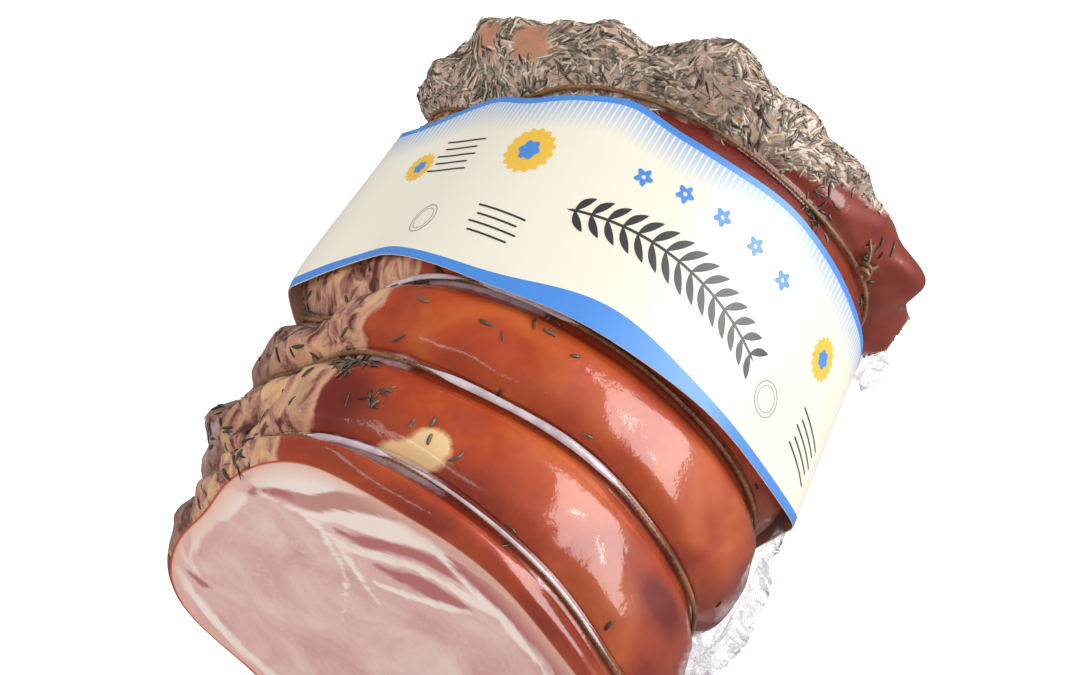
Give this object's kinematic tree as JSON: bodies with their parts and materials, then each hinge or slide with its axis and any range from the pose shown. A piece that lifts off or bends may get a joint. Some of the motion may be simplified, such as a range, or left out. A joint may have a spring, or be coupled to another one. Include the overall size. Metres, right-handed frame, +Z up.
{
  "type": "rolled pork roast",
  "caption": "Half of a rolled, herb-crusted pork roast with its cut face, tied with twine and sealed in clear film under a paper band.",
  "frame": {"origin": "on the floor plane under the middle of the part's box", "axes": "+Y along the roll from the cut face to the crusted end, +Z up, +X to the right of someone who faces the cut"},
  "size_m": [0.1888, 0.2324, 0.1725],
  "materials": {
    "pork_rind": "roasted pork rind and belly, glossy under tight film",
    "cooked_loin": "moist cut pork loin",
    "twine": "browned cotton twine",
    "band_paper": "satin printed paper",
    "clear_film": "clear crinkled vacuum film"
  },
  "bodies": {
    "root": {"belly_wrap": "pork_rind", "loin_core": "cooked_loin", "string_1": "twine", "string_2": "twine", "string_3": "twine", "string_4": "twine", "paper_band": "band_paper", "film_edge_right": "clear_film", "film_edge_far": "clear_film", "film_edge_left": "clear_film"}
  },
  "joints": []
}
